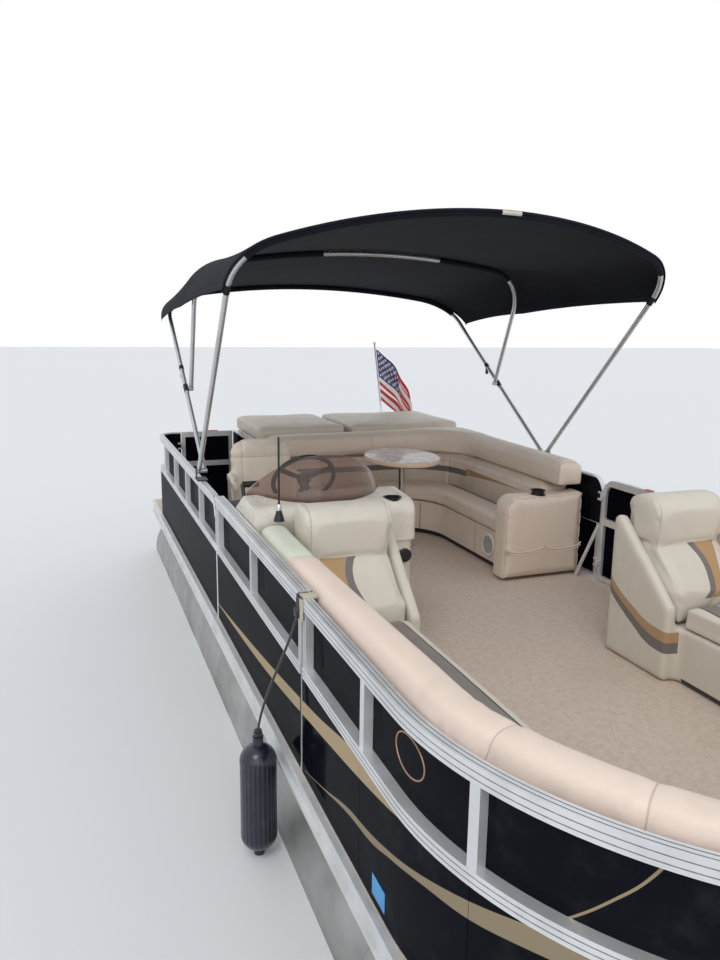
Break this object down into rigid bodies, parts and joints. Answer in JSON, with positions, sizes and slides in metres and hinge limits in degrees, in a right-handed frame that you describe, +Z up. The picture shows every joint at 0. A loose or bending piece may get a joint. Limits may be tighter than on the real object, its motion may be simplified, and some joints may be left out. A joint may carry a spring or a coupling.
{
  "type": "pontoon boat",
  "caption": "Open pontoon boat on two tubes with a fenced deck, lounges, helm, folding bimini top, tilting outboard motor, swinging gates and boarding ladder.",
  "frame": {"origin": "under the middle of the boat, at the undersides of the two keels", "axes": "+X towards the bow, +Y to port, +Z up"},
  "size_m": [8.409, 2.7527, 3.0184],
  "materials": {
    "rail_metal": "satin",
    "panel_black": "gloss",
    "pontoon_metal": "satin",
    "frame_metal": "matte",
    "deck_wood": "matte",
    "carpet": "matte",
    "rub_rail": "satin",
    "motor_paint": "gloss",
    "motor_metal": "satin",
    "cream_vinyl": "satin",
    "cream_plastic": "satin",
    "peach_vinyl": "satin",
    "smoked_screen": "gloss",
    "black_plastic": "matte",
    "canvas": "matte",
    "flag_cloth": "matte",
    "fender_vinyl": "satin",
    "line_black": "matte",
    "steel": "polished",
    "table_plastic": "satin"
  },
  "bodies": {
    "boat": {"fence_starboard": "rail_metal", "fence_port": "rail_metal", "fence_sundeck": "rail_metal", "fence_side_panels": "panel_black", "fence_bow_panels": "panel_black", "fence_stern_panels": "panel_black", "pontoon_port": "pontoon_metal", "pontoon_starboard": "pontoon_metal", "deck_frame": "frame_metal", "deck_board": "deck_wood", "deck_carpet": "carpet", "rub_rail": "rub_rail", "motor_pod": "frame_metal", "outboard_clamp": "motor_metal", "gate_hinges": "rail_metal", "lounge_base": "cream_plastic", "lounge_seat": "cream_vinyl", "lounge_back": "cream_vinyl", "lounge_bolster": "cream_vinyl", "lounge_arm": "cream_plastic", "sundeck_base": "cream_plastic", "bow_lounge_base_starboard": "cream_plastic", "bow_lounge_seat_starboard": "cream_vinyl", "bow_lounge_back_starboard": "cream_vinyl", "bow_lounge_base_port": "cream_plastic", "bow_lounge_seat_port": "cream_vinyl", "bow_lounge_back_port": "cream_vinyl", "side_bolster_starboard": "peach_vinyl", "side_bolster_port": "peach_vinyl", "console": "cream_plastic", "windscreen": "smoked_screen", "throttle": "black_plastic", "antenna": "black_plastic", "chair_pedestal": "steel", "table_pedestal": "steel", "table_top": "table_plastic", "bimini_mounts": "black_plastic", "flag_staff": "steel", "flag": "flag_cloth", "fender": "fender_vinyl", "fender_line": "line_black", "cleats": "steel", "ladder_mounts": "steel"},
    "bimini_rear": {"bimini_bow_rear": "rail_metal", "bimini_canvas": "canvas"},
    "bimini_front": {"bimini_bow_front": "rail_metal"},
    "bimini_middle": {"bimini_bow_middle": "rail_metal"},
    "helm_chair": {"chair": "cream_vinyl"},
    "helm_wheel": {"steering_wheel": "black_plastic"},
    "side_gate": {"gate_port": "rail_metal"},
    "front_gate": {"gate_bow": "rail_metal"},
    "rear_gate": {"gate_stern": "rail_metal"},
    "sun_lid_port": {"sun_pad_port": "cream_vinyl"},
    "sun_lid_starboard": {"sun_pad_starboard": "cream_vinyl"},
    "motor_swivel": {"outboard_swivel": "motor_metal"},
    "motor": {"outboard_leg": "motor_metal", "outboard_cowl": "motor_paint"},
    "motor_propeller": {"propeller": "steel"},
    "ladder_top": {"ladder_upper": "steel"},
    "ladder_foot": {"ladder_lower": "steel"}
  },
  "joints": [
    {"name": "bimini_fold", "type": "hinge", "parent": "boat", "child": "bimini_rear", "pos_m": [-0.38546, 0, 1.552], "axis": [0, 1, 0], "range_deg": [0, 46], "deforming": ["bimini_canvas"]},
    {"name": "bimini_front_fold", "type": "hinge", "parent": "bimini_rear", "child": "bimini_front", "pos_m": [-0.38546, 0, 1.552], "axis": [0, 1, 0], "range_deg": [-91, 0]},
    {"name": "bimini_middle_fold", "type": "hinge", "parent": "bimini_rear", "child": "bimini_middle", "pos_m": [-1.05698, 0, 2.00495], "axis": [0, 1, 0], "range_deg": [-74.5, 0]},
    {"name": "chair_swivel", "type": "hinge", "parent": "boat", "child": "helm_chair", "pos_m": [-0.36546, -0.83, 1.1], "axis": [0, 0, 1], "continuous": true},
    {"name": "wheel_turn", "type": "hinge", "parent": "boat", "child": "helm_wheel", "pos_m": [0.28454, -0.79, 1.6], "axis": [-0.8192, 0, 0.5736], "range_deg": [-540, 540]},
    {"name": "side_gate_hinge", "type": "hinge", "parent": "boat", "child": "side_gate", "pos_m": [0.31654, 1.227, 1.1], "axis": [0, 0, -1], "range_deg": [0, 90]},
    {"name": "front_gate_hinge", "type": "hinge", "parent": "boat", "child": "front_gate", "pos_m": [3.65447, -0.348, 1.1], "axis": [0, 0, 1], "range_deg": [0, 90]},
    {"name": "rear_gate_hinge", "type": "hinge", "parent": "boat", "child": "rear_gate", "pos_m": [-2.52746, -1.071, 1.1], "axis": [0, 0, -1], "range_deg": [0, 90]},
    {"name": "sun_lid_port_hinge", "type": "hinge", "parent": "boat", "child": "sun_lid_port", "pos_m": [-2.52746, 0.6125, 1.512], "axis": [0, -1, 0], "range_deg": [0, 60]},
    {"name": "sun_lid_starboard_hinge", "type": "hinge", "parent": "boat", "child": "sun_lid_starboard", "pos_m": [-2.52746, -0.306, 1.512], "axis": [0, -1, 0], "range_deg": [0, 60]},
    {"name": "motor_tilt", "type": "hinge", "parent": "boat", "child": "motor_swivel", "pos_m": [-3.26046, 0, 0.795], "axis": [0, 1, 0], "range_deg": [-58, 8]},
    {"name": "motor_steer", "type": "hinge", "parent": "motor_swivel", "child": "motor", "pos_m": [-3.4009, 0, 0.83105], "axis": [0.848, 0, 0.5299], "range_deg": [-30, 30]},
    {"name": "propeller_spin", "type": "hinge", "parent": "motor", "child": "motor_propeller", "pos_m": [-4.09033, 0, 0.73042], "axis": [0.5299, 0, -0.848], "continuous": true},
    {"name": "ladder_swing", "type": "hinge", "parent": "boat", "child": "ladder_top", "pos_m": [-3.05046, -0.84, 0.822], "axis": [0, -1, 0], "range_deg": [0, 255]},
    {"name": "ladder_unfold", "type": "hinge", "parent": "ladder_top", "child": "ladder_foot", "pos_m": [-2.65046, -0.84, 0.839], "axis": [0, 1, 0], "range_deg": [0, 180.1]}
  ],
  "couplings": [
    {"joint": "bimini_front_fold", "follows": "bimini_fold", "ratio": -1.9674},
    {"joint": "bimini_middle_fold", "follows": "bimini_fold", "ratio": -1.6087},
    {"joint": "ladder_unfold", "follows": "ladder_swing", "ratio": 0.70588}
  ]
}
